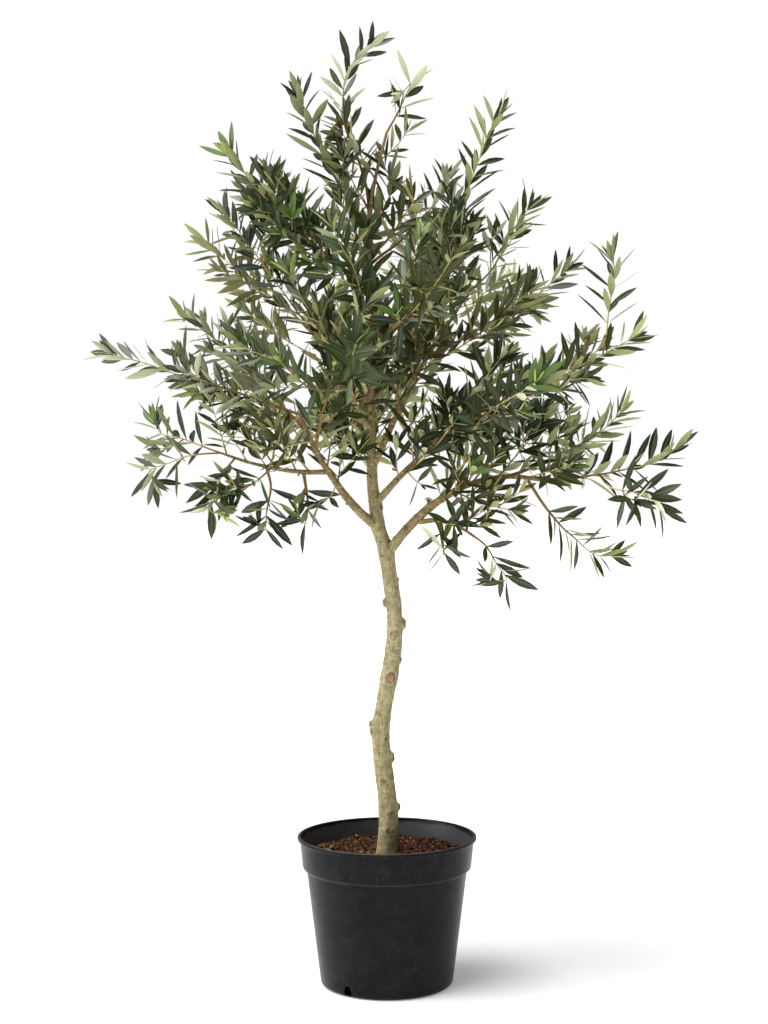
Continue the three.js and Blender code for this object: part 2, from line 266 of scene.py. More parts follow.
def moulded_polypropylene():
    """Black polypropylene from a spark-eroded mould: nearly black with a satin skin. Faint cloudy scuffs,
    short scratches and specks of dust break the black. A pale grey film inside the collar is partly dried
    compost and partly painted sheen, and pale bands on the edges of bead and ledge are painted highlights."""
    material, tree, shader = finish_material("moulded_polypropylene", Specular_IOR_Level=0.12)
    place = add(tree, "ShaderNodeTexCoord").outputs["Object"]
    tilted = add(tree, "ShaderNodeMapping", {
        "Vector": place, "Rotation": (0.5, 0.3, 0.0), "Scale": (1.0, 1.0, 9.0)}).outputs[0]
    clouds = noise_field(tree, place, 17.0, 8.0, 0.68)
    scuffs = noise_field(tree, place, 46.0, 6.0, 0.7, 0.6)
    scratches = noise_field(tree, tilted, 60.0, 4.0)
    dust = add(tree, "ShaderNodeTexVoronoi", {"Vector": place, "Scale": 150.0}).outputs["Distance"]
    dusty_places = noise_field(tree, place, 9.0, 2.0)
    split = add(tree, "ShaderNodeSeparateXYZ", {"Vector": place}).outputs
    level = add(tree, "ShaderNodeCombineXYZ", {"X": split["X"], "Y": split["Y"]}).outputs[0]
    radius = add(tree, "ShaderNodeVectorMath", {0: level}, operation="LENGTH").outputs["Value"]

    skin = ramp(tree, clouds, (0.36, "#070708"), (0.72, "#151517"))
    skin = blend(tree, rescale(tree, scuffs, 0.46, 0.74, 0.0, 0.40), skin, tone("#2c2d30"))
    skin = blend(tree, rescale(tree, scratches, 0.68, 0.76, 0.0, 0.3), skin, tone("#3c3c3e"))
    specks = calculate(
        tree, "MULTIPLY", rescale(tree, dust, 0.11, 0.07), rescale(tree, dusty_places, 0.53, 0.66, 0.0, 0.6))
    skin = blend(tree, specks, skin, tone("#8d8a84"))

    # The pale film, partly dust and partly painted sheen, lies on the inner wall of the collar only: less
    # far out than its flare, and above its foot.
    flared = calculate(tree, "MULTIPLY_ADD", split["Z"], -WALL_FLARE, radius)
    on_wall = calculate(
        tree, "MULTIPLY", rescale(tree, flared, 0.1134, 0.1126), rescale(tree, split["Z"], 0.192, 0.196))
    wavy = calculate(tree, "MULTIPLY_ADD", clouds, 0.016, split["Z"])
    dust_and_sheen = rescale(tree, wavy, DUST_AND_SHEEN_TOP + 0.004, DUST_AND_SHEEN_TOP - 0.001, 0.0, 0.36)
    # painted sheen: a pale bluish grey laid over the whole inner wall of the collar, with some real dust
    # film
    skin = blend(tree, calculate(tree, "MULTIPLY", dust_and_sheen, on_wall), skin, tone("#84858b"))

    # painted highlights: pale bands along the top of the bead and round the ledge, broken up by the clouds
    bead, ledge_foot, ledge_top = (
        rescale(tree, split["Z"], start, full, 0.0, most, "SMOOTHSTEP") for start, full, most in PAINTED_EDGE_HIGHLIGHTS)
    edges = calculate(tree, "ADD", bead, calculate(tree, "MULTIPLY", ledge_foot, ledge_top))
    skin = blend(tree, calculate(tree, "MULTIPLY", edges, clouds), skin, tone("#77716e"))
    feed(tree, shader, Base_Color=skin, Roughness=rescale(tree, clouds, 0.3, 0.75, 0.24, 0.42),
         Normal=bumps(tree, noise_field(tree, place, 900.0, 2.0), 0.2, 0.0004))
    return material


def apply_modifiers(made):
    """Keeps the mesh that the object's modifiers give, and drops the modifiers."""
    seen_mesh = bpy.data.meshes.new_from_object(made.evaluated_get(bpy.context.evaluated_depsgraph_get()))
    made.modifiers.clear()
    made.data = seen_mesh


pot = turned("pot_shell", rounded(POT_OUTLINE), POT_SIDES, [moulded_polypropylene()])
for vertex in pot.data.vertices:
    bearing = math.atan2(vertex.co.y, vertex.co.x)
    swell = 1 + OUT_OF_ROUND / LIP_RADIUS * math.sin(2 * bearing + 0.7) * vertex.co.z / POT_TOP
    vertex.co.x *= swell
    vertex.co.y *= swell

# Each drain opening is a little arch through the foot of the wall, its edge torn rough by the gate.
for number, bearing in enumerate(NOTCH_BEARINGS):
    arch = []
    for i in range(NOTCH_POINTS):
        angle = math.pi * (i / (NOTCH_POINTS - 1))
        rough = 1 + 0.09 * math.sin(7 * angle + number) + 0.06 * math.sin(13 * angle)
        across = math.copysign(abs(math.cos(angle)) ** 0.55, math.cos(angle))
        rise = NOTCH_FOOT + (NOTCH_TOP - NOTCH_FOOT) * math.sin(angle) ** 0.6 * rough
        arch.append((NOTCH_WIDTH / 2 * across * rough, rise))
    count = len(arch)
    points = [(depth, across, rise) for depth in NOTCH_REACH for across, rise in arch]
    faces = [(i, (i + 1) % count, count + (i + 1) % count, count + i) for i in range(count)]
    faces += [tuple(range(count))[::-1], tuple(range(count, 2 * count))]
    cutter = piece("drain_cutter", points, faces, [], smooth=False)
    cutter.rotation_euler.z = math.radians(bearing)
    cut = pot.modifiers.new("drain", "BOOLEAN")
    cut.object = cutter
    cut.operation = "DIFFERENCE"
    cut.solver = "EXACT"
    apply_modifiers(pot)
    bpy.data.objects.remove(cutter)

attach(pot, "root")
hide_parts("pot")


# ---- compost ------------------------------------------------------------------------------------
# Moist potting compost of bark and coir: a lumpy bed, with loose crumbs, pale grains of perlite and a
# few fibres lying on it.

SOIL_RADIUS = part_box("soil")[1].x
SOIL_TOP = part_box("soil")[1].z - 0.0035
BED_RINGS = 56
BED_SIDES = 150
BED_SIDES_DOWN = [(0.1288, 0.191), (0.1208, 0.181), (0.1020, 0.034)]  # inside the pot's wall
CRUMBS = 5200
CRUMB_SIZES = (0.0016, 0.0066)
CRUMB_SHARES = (0.42, 0.38, 0.17, 0.03)
PERLITE = 70
PERLITE_SIZES = (0.0016, 0.0036)
FIBRES = 60
FIBRE_STEPS = 6


def bed_height(x, y):
    """The level of the bed: lumps of two sizes, and a slight dish towards the stem."""
    broad = noise.noise(Vector((x, y, 0)) * 26) * 0.0042
    fine = noise.noise(Vector((x, y, 3)) * 120) * 0.0022
    return SOIL_TOP + broad + fine - 0.002 * (1 - math.hypot(x, y) / SOIL_RADIUS)


def damp_compost():
    """Composted bark: rough and matt, so that nothing on it glints, and darker where it is damp."""
    material, tree, shader = finish_material("damp_compost", Roughness=0.95, Specular_IOR_Level=0.25)
    place = add(tree, "ShaderNodeTexCoord").outputs["Object"]
    mottle = noise_field(tree, place, 190.0, 5.0)
    feed(tree, shader, Base_Color=ramp(tree, mottle, (0.35, "#21150e"), (0.68, "#4e3324")),
         Normal=bumps(tree, mottle, 0.6, 0.0008))
    return material


angles = np.linspace(0, 2 * math.pi, BED_SIDES, endpoint=False)
points = [(0.0, 0.0, bed_height(0, 0))]
for ring in range(1, BED_RINGS + 1):
    radius = SOIL_RADIUS * ring / BED_RINGS
    for a in angles:
        x, y = radius * math.cos(a), radius * math.sin(a)
        points.append((x, y, bed_height(x, y)))
for radius, height in BED_SIDES_DOWN:
    points += [(radius * math.cos(a), radius * math.sin(a), height) for a in angles]
faces = [(0, 1 + i, 1 + (i + 1) % BED_SIDES) for i in range(BED_SIDES)]
for first in range(1, len(points) - BED_SIDES, BED_SIDES):
    for i in range(BED_SIDES):
        j = (i + 1) % BED_SIDES
        faces.append((first + i, first + BED_SIDES + i, first + BED_SIDES + j, first + j))
faces.append(tuple(range(len(points) - BED_SIDES, len(points)))[::-1])
bed = piece("compost_bed", points, faces, [damp_compost()])
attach(bed, "root")
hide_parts("soil")


def crumb_shapes():
    """A few chip shapes: boxes with their corners pushed about and their long edges broken."""
    dice = np.random.default_rng(5)
    corners = np.array([(x, y, z) for x in (-1, 0, 1) for y in (-1, 1) for z in (-1, 1)], dtype=float)
    shapes = []
    for _ in range(14):
        shape = corners + dice.normal(0, 0.26, corners.shape)
        shape[4:8, 1:] *= dice.uniform(1.05, 1.5)
        shapes.append(shape)
    return shapes


CHIP_FACES = [
    (0, 1, 3, 2), (8, 10, 11, 9), (0, 4, 5, 1), (4, 8, 9, 5), (2, 3, 7, 6), (6, 7, 11, 10),
    (0, 2, 6, 4), (4, 6, 10, 8), (1, 5, 7, 3), (5, 9, 11, 7),
]


def scattered(name, count, sizes, flatness, lift, materials, weights, seed):
    """Joins chips of random size, turn and tone, lying on the bed, into one piece."""
    dice = np.random.default_rng(seed)
    shapes = crumb_shapes()
    points, faces, slots = [], [], []
    for _ in range(count):
        radius = (SOIL_RADIUS - 0.004) * math.sqrt(dice.uniform(0.012, 1))
        bearing = dice.uniform(0, 2 * math.pi)
        x, y = radius * math.cos(bearing), radius * math.sin(bearing)
        size = dice.uniform(*sizes) * dice.uniform(0.5, 1) / 2
        scale = np.array([size, size * dice.uniform(0.45, 0.8), size * flatness * dice.uniform(0.6, 1.2)])
        turn = Quaternion(Vector(dice.normal(0, 1, 3)).normalized(), dice.uniform(0, 0.9))
        turn = turn @ Quaternion((0, 0, 1), dice.uniform(0, 2 * math.pi))
        shape = (shapes[dice.integers(len(shapes))] * scale) @ np.array(turn.to_matrix()).T
        base = len(points) * len(shape)
        points.append(shape + (x, y, bed_height(x, y) + size * lift))
        faces += [tuple(base + i for i in face) for face in CHIP_FACES]
        slots += [int(dice.choice(len(materials), p=weights))] * len(CHIP_FACES)
    return piece(name, np.concatenate(points), faces, materials, slots, smooth=False)


# Dry chips are matt and pale, wet ones nearly black: four tones keep the surface from looking even.
bark_tones = [
    finish_material(name, Base_Color=tone(code), Roughness=0.92, Specular_IOR_Level=0.2)[0]
    for name, code in (
        ("bark_chip_dark", "#2c1b12"), ("bark_chip_brown", "#5e3d2a"),
        ("bark_chip_red", "#7e5339"), ("bark_chip_pale", "#a3835a"))
]
perlite_tones = [
    finish_material(name, Base_Color=tone(code), Roughness=0.85)[0]
    for name, code in (("perlite_white", "#d8d2c2"), ("perlite_stained", "#b39b6c"))
]
crumbs = scattered("compost_crumbs", CRUMBS, CRUMB_SIZES, 0.55, 0.25, bark_tones, CRUMB_SHARES, 11)
perlite = scattered("perlite_grains", PERLITE, PERLITE_SIZES, 0.85, 0.6, perlite_tones, (0.6, 0.4), 12)
for loose in (crumbs, perlite):
    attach(loose, "root")


def unit(vector):
    return vector / np.linalg.norm(vector)


def run_of(line):
    """How far along a line each of its points lies."""
    return np.concatenate([[0.0], np.cumsum(np.linalg.norm(np.diff(line, axis=0), axis=1))])


def smooth_line(points, step):
    """Points about one step apart on a smooth curve through the given ones."""
    points = np.asarray(points, dtype=float)
    at = run_of(points)
    gaps = np.linalg.norm(np.diff(points, axis=0), axis=1)
    slopes = np.gradient(points, at, axis=0)
    stations = np.linspace(0, at[-1], max(3, round(at[-1] / step) + 1))
    k = np.clip(np.searchsorted(at, stations, side="right") - 1, 0, len(gaps) - 1)
    gap = gaps[k][:, None]
    t = (stations - at[k])[:, None] / gap
    return (
        points[k] * (2 * t ** 3 - 3 * t ** 2 + 1) + slopes[k] * gap * (t ** 3 - 2 * t ** 2 + t)
        + points[k + 1] * (3 * t ** 2 - 2 * t ** 3) + slopes[k + 1] * gap * (t ** 3 - t ** 2)
    )


def frames_along(line):
    """The way along the line at each point, and two directions square to it that never spin."""
    along = np.gradient(line, axis=0)
    along /= np.linalg.norm(along, axis=1)[:, None]
    side = np.empty_like(along)
    start = np.cross(along[0], (0.0, 0.0, 1.0) if abs(along[0][2]) < 0.9 else (0.0, 1.0, 0.0))
    side[0] = start / np.linalg.norm(start)
    for i in range(1, len(line)):
        carried = side[i - 1] - along[i] * np.dot(side[i - 1], along[i])
        side[i] = carried / np.linalg.norm(carried)
    return along, side, np.cross(along, side)


def square_to(side, up, angle):
    """A direction square to a line, turned about it by an angle."""
    return side * np.cos(angle) + up * np.sin(angle)


def tube(line, radii, sides, first=0):
    """Points and faces of a closed tube; radii is one for each point or for each point and side."""
    _, side, up = frames_along(line)
    angles = np.linspace(0, 2 * math.pi, sides, endpoint=False)[None, :, None]
    radii = np.asarray(radii, dtype=float)
    radii = radii if radii.ndim == 2 else np.repeat(radii[:, None], sides, axis=1)
    out = square_to(side[:, None, :], up[:, None, :], angles)
    points = (line[:, None, :] + out * radii[:, :, None]).reshape(-1, 3)
    rows, cols = np.meshgrid(np.arange(len(line) - 1), np.arange(sides), indexing="ij")
    a = first + rows * sides + cols
    b = first + rows * sides + (cols + 1) % sides
    faces = np.stack([a, b, b + sides, a + sides], axis=-1).reshape(-1, 4).tolist()
    faces.append(list(range(first, first + sides))[::-1])
    faces.append(list(range(first + (len(line) - 1) * sides, first + len(line) * sides)))
    return points, faces


def add_tube(points, faces, line, radii, sides):
    """Adds a closed tube to the lists of a piece that is being put together."""
    more, more_faces = tube(line, radii, sides, sum(map(len, points)))
    points.append(more)
    faces += more_faces


coir, _, _ = finish_material("coir_fibre", Base_Color=tone("#8a6a42"), Roughness=0.8)
dice = np.random.default_rng(21)
points, faces = [], []
for _ in range(FIBRES):
    bearing = dice.uniform(0, 2 * math.pi)
    radius = dice.uniform(0.025, SOIL_RADIUS - 0.02)
    heading = dice.uniform(0, 2 * math.pi)
    stride = dice.uniform(0.008, 0.026) / (FIBRE_STEPS - 1)
    bend = dice.uniform(-1.6, 1.6)
    x, y = radius * math.cos(bearing), radius * math.sin(bearing)
    route = []
    for step in range(FIBRE_STEPS):
        route.append((x, y, bed_height(x, y) + 0.0026 + 0.0012 * math.sin(step)))
        x += stride * math.cos(heading + bend * step / (FIBRE_STEPS - 1))
        y += stride * math.sin(heading + bend * step / (FIBRE_STEPS - 1))
    add_tube(points, faces, np.array(route), np.full(FIBRE_STEPS, dice.uniform(0.00025, 0.0005)), 5)
fibres = piece("coir_fibres", np.concatenate(points), faces, [coir])
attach(fibres, "root")


# ---- stem ---------------------------------------------------------------------------------------
# The trunk of a young olive: smooth grey-green bark over a stem that winds where side boughs were
# pruned off. Each cut has healed to a raised collar round a dry scar, and each bough that is left
# stands on a swelling of its own.

STEM_STEP = 0.0016
STEM_SIDES = 88
STEM_SUNK = 0.007  # how far the bark goes down into the compost
THIN_FROM = 0.66  # height at which the stem's bark starts to turn into the bark of thin limbs
THIN_SPAN = 0.30  # and over what height it does so
LEAF_JOINTS = np.arange(0.235, 1.3, 0.031)  # heights of the faint rings where leaves once stood
DARK_SPOT = 0.0011  # a scar that stands out less than this has closed to a dark spot
WIDE_SCAR = 0.0095  # one as wide as this still shows its wood
BOUGH_STEP = 0.0022
NOISE_SEED = 7
noise.seed_set(NOISE_SEED)  # without it, limbs and shoots would wander differently on each run

# Healed pruning cuts: height, bearing (0 is to the right, 270 to the front), width of the collar and
# how far it stands out, in metres.
SCARS = [
    (0.246, 262, 0.0055, 0.0012), (0.273, 285, 0.0065, 0.0020), (0.281, 352, 0.0080, 0.0046),
    (0.324, 258, 0.0065, 0.0018), (0.359, 350, 0.0088, 0.0054), (0.389, 300, 0.0050, 0.0010),
    (0.411, 190, 0.0098, 0.0058), (0.400, 205, 0.0080, 0.0040), (0.487, 268, 0.0125, 0.0036),
    (0.513, 345, 0.0060, 0.0022), (0.571, 350, 0.0092, 0.0060), (0.604, 192, 0.0088, 0.0056),
    (0.556, 245, 0.0050, 0.0010), (0.678, 240, 0.0055, 0.0014), (0.688, 330, 0.0060, 0.0018),
    (0.753, 318, 0.0070, 0.0022), (0.802, 258, 0.0060, 0.0008), (0.826, 190, 0.0050, 0.0022),
    (0.901, 270, 0.0060, 0.0010), (0.340, 90, 0.0090, 0.0040), (0.452, 60, 0.0095, 0.0042),
    (0.530, 130, 0.0085, 0.0040), (0.640, 40, 0.0080, 0.0032), (0.255, 120, 0.0060, 0.0024),
]

# What each bough grows from, and how far along it.
BOUGHS = {
    "bough_left_low": ("trunk", 0.512), "bough_left_reach": ("bough_left_low", 0.125),
    "bough_right_low": ("trunk", 0.472), "bough_right_droop": ("bough_right_low", 0.068),
    "bough_right_mid": ("trunk", 0.553), "bough_right_high": ("trunk", 0.607),
    "bough_left_high": ("trunk", 0.690), "bough_back_low": ("trunk", 0.570),
    "bough_back_left": ("trunk", 0.655), "bough_back_right": ("trunk", 0.720),
    "bough_front_low": ("trunk", 0.672), "bough_front_high": ("trunk", 0.748),
}


def rings_of(node, gap=0.008):
    """The middle and radius of each ring of corners in a limb's CAD solid, from foot to tip."""
    corners = np.array([v.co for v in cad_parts[node].data.vertices])
    chord = corners - corners.mean(axis=0)
    axis = np.linalg.svd(chord, full_matrices=False)[2][0]
    order = np.argsort(chord @ axis)
    cuts = np.where(np.diff((chord @ axis)[order]) > gap)[0] + 1
    rings = [corners[group] for group in np.split(order, cuts)]
    middles = np.array([ring.mean(axis=0) for ring in rings])
    radii = np.array([np.linalg.norm(r - m, axis=1).max() for r, m in zip(rings, middles)])
    return middles, radii


def point_along(line, distance):
    """The point and the index that lie so far along a line."""
    index = int(np.clip(np.searchsorted(run_of(line), distance), 0, len(line) - 1))
    return line[index], index


def bark_relief(places):
    """Soft lumps, lengthwise furrows and fine grain, from -1 to 1."""
    return np.array([
        0.55 * noise.noise(Vector((x * 60, y * 60, z * 26)))
        + 0.28 * noise.noise(Vector((x * 420, y * 420, z * 70)))
        + 0.17 * noise.noise(Vector((x * 900, y * 900, z * 420)))
        for x, y, z in places
    ])


def olive_bark():
    """Smooth young olive bark, matt so that it shows its roundness: beige over grey-green on the stem and
    browner on thin limbs, streaked lengthwise, freckled with corky pores, and brown inside a dark rim
    where a cut has healed."""
    material, tree, shader = finish_material("young_olive_bark", Specular_IOR_Level=0.3)
    thin = add(tree, "ShaderNodeAttribute", attribute_name="thin").outputs["Fac"]
    scar = add(tree, "ShaderNodeAttribute", attribute_name="scar").outputs["Fac"]
    place = add(tree, "ShaderNodeTexCoord").outputs["Object"]
    long_grain = add(tree, "ShaderNodeMapping", {"Vector": place, "Scale": (1.0, 1.0, 0.22)}).outputs[0]
    flat_grain = add(tree, "ShaderNodeMapping", {"Vector": place, "Scale": (1.0, 1.0, 3.2)}).outputs[0]
    blotches = noise_field(tree, place, 88.0, 6.0, 0.70)
    streaks = noise_field(tree, long_grain, 340.0, 5.0, 0.65)
    bands = noise_field(tree, flat_grain, 90.0, 3.0, 0.55)
    wood_grain = noise_field(tree, place, 420.0, 4.0, 0.7)
    pores = add(tree, "ShaderNodeTexVoronoi", {"Vector": flat_grain, "Scale": 150.0}).outputs["Distance"]

    def by_girth(stout_tone, thin_tone):
        return blend(tree, thin, tone(stout_tone), tone(thin_tone))

    skin = blend(tree, rescale(tree, blotches, 0.38, 0.60), by_girth("#8a8862", "#80704a"),
                 by_girth("#bfb088", "#a38b62"))
    skin = blend(tree, rescale(tree, streaks, 0.46, 0.66, 0.0, 0.9), skin, by_girth("#7c7150", "#6a5438"))
    skin = blend(tree, rescale(tree, bands, 0.57, 0.66, 0.0, 0.7), skin, tone("#c9b98d"))
    skin = blend(tree, rescale(tree, pores, 0.24, 0.12, 0.0, 0.55), skin, tone("#5e5238"))
    cut_wood = blend(tree, rescale(tree, wood_grain, 0.38, 0.62), tone("#7c5a42"), tone("#bd9a7c"))
    scar_skin = blend(tree, rescale(tree, scar, 0.35, 0.85), tone("#35281b"), cut_wood)
    skin = blend(tree, rescale(tree, scar, 0.12, 0.5, 0.0, 0.92), skin, scar_skin)
    feed(tree, shader, Base_Color=skin, Roughness=rescale(tree, blotches, 0.3, 0.7, 0.62, 0.85),
         Normal=bumps(tree, streaks, 0.8, 0.0008))
    return material


def mark(made, name, amounts):
    """Stores one number for each point of a mesh, for its bark to read."""
    layer = made.data.attributes.new(name, "FLOAT", "POINT")
    layer.data.foreach_set("value", np.clip(amounts, 0, 1).astype(np.float32).ravel())


def bough_route(name):
    """The middle line of a bough, from the middle of its parent to its tip, and its thickness."""
    parent, distance = BOUGHS[name]
    foot, _ = point_along(limb_lines[parent][0], distance + (STEM_SUNK if parent == "trunk" else 0))
    middles, radii = rings_of(name)
    if np.linalg.norm(middles[0] - foot) > np.linalg.norm(middles[-1] - foot):
        middles, radii = middles[::-1], radii[::-1]
    line = smooth_line(np.vstack([foot, middles[1:]]), BOUGH_STEP)
    share = np.linspace(0, 1, len(line))
    thick = np.interp(share, np.linspace(0, 1, len(radii)), np.concatenate([[radii[1]], radii[1:]]))
    wander = np.array([noise.noise_vector(Vector(p) * 21) for p in line]) * 0.0024
    return line + wander * np.sin(np.pi * share)[:, None], thick * (1 - 0.34 * share ** 1.5)


def fade(distance, reach, power=2):
    """Full at no distance, and gone a little past the reach."""
    return np.exp(-(distance / reach) ** power)


middles, radii = rings_of("trunk")
middles, radii = middles[np.argsort(middles[:, 2])], radii[np.argsort(middles[:, 2])]
middles[0] = middles[0] - (0, 0, STEM_SUNK)
stem_line = smooth_line(middles, STEM_STEP)
stem_radii = np.interp(stem_line[:, 2], middles[:, 2], radii)
limb_lines = {"trunk": (stem_line, stem_radii)}
for name in BOUGHS:
    limb_lines[name] = bough_route(name)

bearings = np.linspace(0, 2 * math.pi, STEM_SIDES, endpoint=False)[None, :, None]
_, side, up = frames_along(stem_line)
out = square_to(side[:, None, :], up[:, None, :], bearings)
skin = stem_line[:, None, :] + out * stem_radii[:, None, None]
true_bearing = np.arctan2(out[:, :, 1], out[:, :, 0])
heights = skin[:, :, 2]


def turn_from(bearing):
    """How far each point of the stem's skin is turned from a bearing, from -pi to pi."""
    return (true_bearing - bearing + math.pi) % (2 * math.pi) - math.pi


def girth_at(height):
    return stem_radii[np.argmin(abs(stem_line[:, 2] - height))]


swell = bark_relief(skin.reshape(-1, 3)).reshape(heights.shape)
swell *= np.minimum(stem_radii * 0.08, 0.0012)[:, None]
flutes = 0.035 * np.sin(3 * true_bearing + 9 * heights) + 0.02 * np.sin(5 * true_bearing - 14 * heights)
swell += flutes * stem_radii[:, None]
healed = np.zeros_like(swell)

# A healed cut: a collar with a dished middle, and a low wrinkle that runs round the stem from it.
for height, bearing, width, stand in SCARS:
    local = girth_at(height)
    turn = turn_from(math.radians(bearing))
    ragged = 1 + 0.22 * np.sin(3 * turn * local / width + bearing)
    distance = np.hypot(turn * local, (heights - height) * 0.9) * ragged
    swell += stand * fade(distance, width * 0.66, 4)
    swell -= stand * 0.45 * fade(distance, width * 0.26)
    swell += 0.0005 * fade(heights - height - 0.1 * local * turn, width * 0.7)
    depth = 0.5 if stand < DARK_SPOT else min(1.0, width / WIDE_SCAR)
    healed += depth * fade(distance, width * 0.46, 4)
for joint in LEAF_JOINTS:
    ridge = fade(heights - joint - 0.002 * np.sin(true_bearing + joint * 90), 0.0016)
    swell += 0.0004 * ridge
    healed += 0.16 * ridge

# The swelling under each bough, and the wrinkled crease in the fork above it.
for name, (parent, _) in BOUGHS.items():
    if parent == "trunk":
        line, thick = limb_lines[name]
        way = unit(line[6] - line[0])
        local = girth_at(line[0][2])
        exit_height = line[0][2] + local * way[2] / max(math.hypot(way[0], way[1]), 0.3)
        below = heights < exit_height
        turn = turn_from(math.atan2(way[1], way[0]))
        distance = np.hypot(turn * local, (heights - exit_height) * np.where(below, 0.62, 1.1))
        swell += thick[0] * 0.52 * fade(distance, thick[0] * 1.7)
        healed += 0.34 * fade(distance - thick[0] * 1.25, thick[0] * 0.22) * ~below
points, faces = tube(stem_line, stem_radii[:, None] + swell, STEM_SIDES)
bark = olive_bark()
stem = piece("stem_bark", points, faces, [bark])
mark(stem, "scar", healed)
mark(stem, "thin", (heights - THIN_FROM) / THIN_SPAN)
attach(stem, "root")
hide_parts("trunk")


# ---- boughs -------------------------------------------------------------------------------------
# The limbs that carry the crown, each grown out of its parent through a thickened collar. They wear the
# stem's bark where they leave it and soon turn thinner and browner, with a faint ring at every old leaf
# joint and a few short stubs where shoots have died back.

BOUGH_SIDES = 24
COLLAR_SWELL = 0.10  # how much thicker a bough is where it leaves its parent
COLLAR_LENGTH = 0.012
JOINT_SPACING = 0.0245
STUB_SPACING = 0.052
STUB_SIDES = 12
STUB_SHAPE = np.array([1.5, 1.35, 1.15, 1.0, 1.0, 1.0, 0.8])  # its girth from foot to end
STUB_SCAR = [0, 0, 0, 0.05, 0.15, 0.3, 0.6]


def limb_foot(name):
    """How far a bough runs inside its parent before it comes out of the bark."""
    parent, _ = BOUGHS[name]
    line, _ = limb_lines[name]
    parent_line, parent_radii = limb_lines[parent]
    nearest = int(np.argmin(np.linalg.norm(parent_line - line[0], axis=1)))
    way = unit(line[6] - line[0])
    parent_way = unit(parent_line[min(nearest + 3, len(parent_line) - 1)] - parent_line[max(nearest - 3, 0)])
    return parent_radii[nearest] / max(0.35, np.linalg.norm(np.cross(way, parent_way)))


dice = np.random.default_rng(31)
points, faces, healed, thinness = [], [], [], []
for name in BOUGHS:
    line, thick = limb_lines[name]
    run = np.linspace(0, 1, len(line)) * np.linalg.norm(np.diff(line, axis=0), axis=1).sum()
    exit_run = limb_foot(name)
    collar = 1 + COLLAR_SWELL * fade(np.maximum(run - exit_run, 0), COLLAR_LENGTH)
    collar *= 0.45 + 0.55 * np.clip(run / exit_run, 0, 1) ** 1.5
    joints = 0.09 * np.maximum(0, np.sin(run / JOINT_SPACING * 2 * math.pi)) ** 12
    smooth_skin, _ = tube(line, thick, BOUGH_SIDES)
    rough = bark_relief(smooth_skin).reshape(len(line), BOUGH_SIDES) * 0.12
    add_tube(points, faces, line, (thick * (collar + joints))[:, None] + rough * thick[:, None], BOUGH_SIDES)
    healed.append(np.repeat(joints * 2.6, BOUGH_SIDES))
    at_foot = np.clip((line[0][2] - THIN_FROM) / THIN_SPAN, 0, 1) if BOUGHS[name][0] == "trunk" else 1.0
    onward = np.clip((run - exit_run) / 0.05, 0, 1)
    thinness.append(np.repeat(at_foot + (1 - at_foot) * onward, BOUGH_SIDES))
    along, side, up = frames_along(line)
    for place in np.arange(exit_run + 0.03, run[-1] * 0.8, STUB_SPACING):
        i = int(np.searchsorted(run, place + dice.uniform(-0.015, 0.015)))
        way = square_to(side[i], up[i], dice.uniform(0, 2 * math.pi)) + along[i] * 0.5
        reach = thick[i] + dice.uniform(0.002, 0.006)
        route = line[i] + way[None] * np.linspace(0, reach, len(STUB_SHAPE))[:, None]
        add_tube(points, faces, route, thick[i] * dice.uniform(0.32, 0.5) * STUB_SHAPE, STUB_SIDES)
        healed.append(np.repeat(STUB_SCAR, STUB_SIDES))
        thinness.append(np.ones(len(STUB_SHAPE) * STUB_SIDES))
boughs = piece("bough_bark", np.concatenate(points), faces, [bark])
mark(boughs, "scar", np.concatenate(healed))
mark(boughs, "thin", np.concatenate(thinness))
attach(boughs, "root")
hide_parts(*BOUGHS)


# ---- shoots and leaves --------------------------------------------------------------------------
# Every mass of foliage is a leading shoot with side shoots, grown out of its limb by one rule. Leaves
# stand in pairs, each pair turned a quarter from the last: long, narrow and leathery, dark and satin
# above, silvered with fine scales below, and yellow-green while they are young.

# How far along its limb each leading shoot starts, in metres. Side names are the CAD masses'.
SHOOTS = {
    "trunk": {"left_crown": 0.886, "top_left": 0.986, "top": 1.002, "leader": 1.136, "right_top": 0.926,
              "front_top": 0.940, "back_top": 0.900, "inner_low": 0.730, "inner_high": 0.900},
    "bough_left_low": {"left_reach": 0.226, "left_rise": 0.196, "front_left_rise": 0.168},
    "bough_left_reach": {"left_low": 0.098, "left_low_inner": 0.040, "left_low_outer": 0.148,
                         "left_low_reach": 0.172, "left_low_rise": 0.166},
    "bough_left_high": {"left_high": 0.200, "inner_left": 0.070},
    "bough_right_low": {"right_low_rise": 0.238, "right_low_reach": 0.292, "right_hanging": 0.268,
                        "inner_right": 0.128},
    "bough_right_droop": {"right_droop": 0.096, "right_droop_small": 0.046},
    "bough_right_mid": {"right_reach": 0.196, "front_right_rise": 0.100, "front_right": 0.176},
    "bough_right_high": {"right_crown": 0.236, "right_high": 0.322, "right_rise": 0.195},
    "bough_front_low": {"front_low": 0.196, "front_left": 0.150},
    "bough_front_high": {"front_crown": 0.126, "front_mid": 0.110, "front_high": 0.090},
    "bough_back_low": {"back_low": 0.246, "back_low_left": 0.176, "back_low_right": 0.230},
    "bough_back_left": {"back_left": 0.232, "back_mid": 0.206},
    "bough_back_right": {"back_right": 0.236, "back_high": 0.180},
    "leaves_right_reach": {"right_upright": 0.238},
    "leaves_right_low_reach": {"right_low_fork": 0.084},
}

